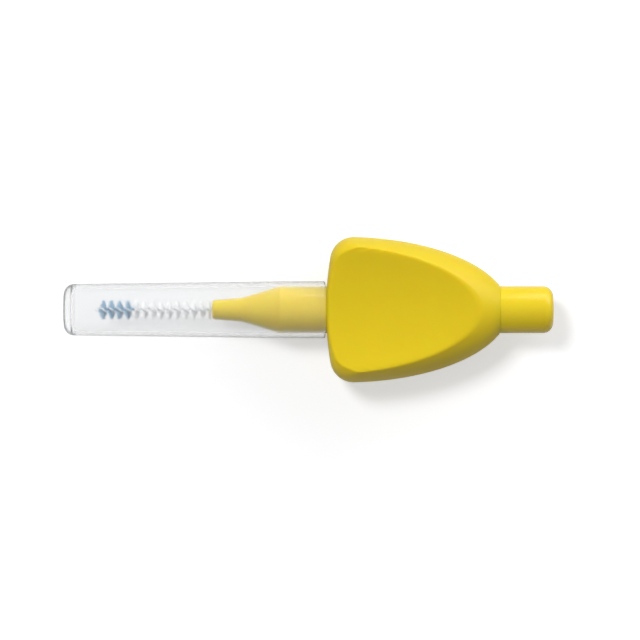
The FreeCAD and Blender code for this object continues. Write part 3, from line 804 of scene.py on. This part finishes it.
# ------------------------------------------------------------------------ operators
class StageOperator(bpy.types.Operator):
    """Set up the white floor, the soft light and the camera straight above"""
    bl_idname = "brush.stage"
    bl_label = "Stage"

    def execute(self, context):
        p = context.scene.brush_stage
        lay_floor(p)
        context.scene.world = white_room(p)
        hang_lamps(p)
        context.scene.camera = camera_above(p)
        context.scene.view_settings.view_transform = "Standard"
        return {"FINISHED"}


class GripOperator(bpy.types.Operator):
    """Build the dished finger grip"""
    bl_idname = "brush.finger_grip"
    bl_label = "Finger grip"

    def execute(self, context):
        p = context.scene.brush_grip
        rings = grip_rings(p, context.scene.brush_core)
        piece = skin_rings("finger_grip_skin", rings, join_ends=True)
        material = moulded_plastic("satin yellow", p.colour, p.roughness,
                                   grain=0.00012, height=0.000012,
                                   line_height=0.00001, gloss=0.3)
        dress(piece, material, "handle", "grip_plastic", "finger_grip")
        return {"FINISHED"}


class CoreOperator(bpy.types.Operator):
    """Build the rigid core with its neck, cap seat and rear stub"""
    bl_idname = "brush.handle_core"
    bl_label = "Handle core"

    def execute(self, context):
        p = context.scene.brush_core
        wire = context.scene.brush_wire
        grip = context.scene.brush_grip
        hole = wire.leg + wire.wire / 2.0 + wire.play
        shank = p.shank_radius
        step = shank - p.shoulder
        far = grip.span - p.inset
        end = grip.span + p.stub
        floor = end - p.gate_depth
        line = bent_line([
            (-p.neck + wire.root, hole, 0.0),
            (-p.neck, hole, p.hole_edge),
            (-p.neck, p.tip_radius, p.tip_round),
            (-p.waist, p.waist_radius, p.waist_bend),
            (-p.seat, shank, p.seat_bend),
            (p.inset, shank, 0.0),
            (p.inset, p.tang_radius, 0.0),
            (far, p.tang_radius, 0.0),
            (far, step, 0.0),
            (grip.span, step, 0.0),
            (grip.span, shank, p.shoulder_edge),
            (end, shank, p.stub_round),
            (end, p.gate, p.gate_edge),
            (floor, p.gate_floor, p.gate_foot),
            (floor, POLE_RADIUS, 0.0),
        ])
        piece = turned("handle_core_skin", line, columns=128)
        material = moulded_plastic("glossy yellow", p.colour, p.roughness,
                                   grain=0.0003, height=0.000003,
                                   line_height=0.000012, gloss=0.42)
        dress(piece, material, "handle", "core_plastic", "handle_core")
        return {"FINISHED"}


class WireOperator(bpy.types.Operator):
    """Build the wire, folded at the tip and twisted on itself"""
    bl_idname = "brush.core_wire"
    bl_label = "Core wire"

    def execute(self, context):
        p = context.scene.brush_wire
        piece = skin_rings("core_wire_skin", wire_rings(p, context.scene.brush_core))
        material = drawn_steel("drawn steel", p.steel)
        dress(piece, material, "handle", "wire_steel", "core_wire")
        return {"FINISHED"}


class FilamentOperator(bpy.types.Operator):
    """Build the filaments, blue at the tip and white behind it"""
    bl_idname = "brush.filaments"
    bl_label = "Filaments"

    def execute(self, context):
        p = context.scene.brush_wire
        rear = FRONT - context.scene.brush_core.neck - p.stem
        front = rear - p.span
        change = front + p.tip_span
        for name, begin, end, colour, slot, node in (
                ("blue_filament_strands", front, change, p.blue, "blue_nylon",
                 "tip_filaments"),
                ("white_filament_strands", change, rear, p.white, "white_nylon",
                 "white_filaments")):
            points, faces = filament_field(p, front, begin, end)
            piece = mesh_piece(name, points, faces, crease=80.0)
            material = nylon(slot.replace("_", " "), colour, through=0.6)
            dress(piece, material, "handle", slot, node)
        return {"FINISHED"}


class CapOperator(bpy.types.Operator):
    """Build the clear push-on cap"""
    bl_idname = "brush.cap"
    bl_label = "Cap"

    def execute(self, context):
        p = context.scene.brush_cap
        end = -p.gap - p.span
        floor = end + p.gate_depth
        line = bent_line([
            (floor, POLE_RADIUS, 0.0),
            (floor, p.gate_floor, p.gate_foot),
            (end, p.gate, p.gate_edge),
            (end, p.end_radius, p.outside),
            (-p.seat, p.mouth_radius, p.outer_bend),
            (-p.gap, p.mouth_radius, p.mouth_round),
            (-p.gap, p.bore + p.lead_in, p.mouth_edge),
            (-p.gap - p.lead_in, p.bore, p.lead_bend),
            (-p.seat, p.bore, p.inner_bend),
            (end + p.end_wall, p.end_radius - p.wall, p.inside),
            (end + p.end_wall, POLE_RADIUS, 0.0),
        ], steps=12)
        piece = turned("cap_shell", line, columns=160)
        material = clear_plastic("clear plastic", p.colour, p.shade, p.haze)
        dress(piece, material, "cap", "clear_plastic", "cap")
        return {"FINISHED"}


class BrushPanel(bpy.types.Panel):
    """Lists the pieces and their settings"""
    bl_idname = "VIEW3D_PT_interdental_brush"
    bl_label = "Interdental brush"
    bl_space_type = "VIEW_3D"
    bl_region_type = "UI"
    bl_category = "Brush"

    def draw(self, context):
        layout = self.layout
        for title, settings, operators in PIECES:
            box = layout.box()
            box.label(text=title)
            group = getattr(context.scene, settings)
            for name in group.bl_rna.properties.keys():
                if name not in ("rna_type", "name"):
                    box.prop(group, name)
            for operator in operators:
                box.operator(operator.bl_idname)


PIECES = (
    ("Stage", "brush_stage", (StageOperator,)),
    ("Finger grip", "brush_grip", (GripOperator,)),
    ("Handle core", "brush_core", (CoreOperator,)),
    ("Wire and filaments", "brush_wire", (WireOperator, FilamentOperator)),
    ("Cap", "brush_cap", (CapOperator,)),
)
GROUPS = (
    ("brush_stage", StageSettings),
    ("brush_grip", GripSettings),
    ("brush_core", CoreSettings),
    ("brush_wire", BrushSettings),
    ("brush_cap", CapSettings),
)


def operators():
    """Every operator class, in the order in which the pieces are built."""
    return [operator for piece in PIECES for operator in piece[2]]


def register():
    """Adds the settings, the operators and the panel."""
    for attribute, group in GROUPS:
        bpy.utils.register_class(group)
        setattr(bpy.types.Scene, attribute, PointerProperty(type=group))
    for operator in operators():
        bpy.utils.register_class(operator)
    bpy.utils.register_class(BrushPanel)


def unregister():
    """Takes them away again, in reverse."""
    bpy.utils.unregister_class(BrushPanel)
    for operator in reversed(operators()):
        bpy.utils.unregister_class(operator)
    for attribute, group in reversed(GROUPS):
        delattr(bpy.types.Scene, attribute)
        bpy.utils.unregister_class(group)


def main():
    """Builds the whole part."""
    register()
    for operator in operators():
        space, name = operator.bl_idname.split(".")
        getattr(getattr(bpy.ops, space), name)()


if __name__ == "__main__":
    main()
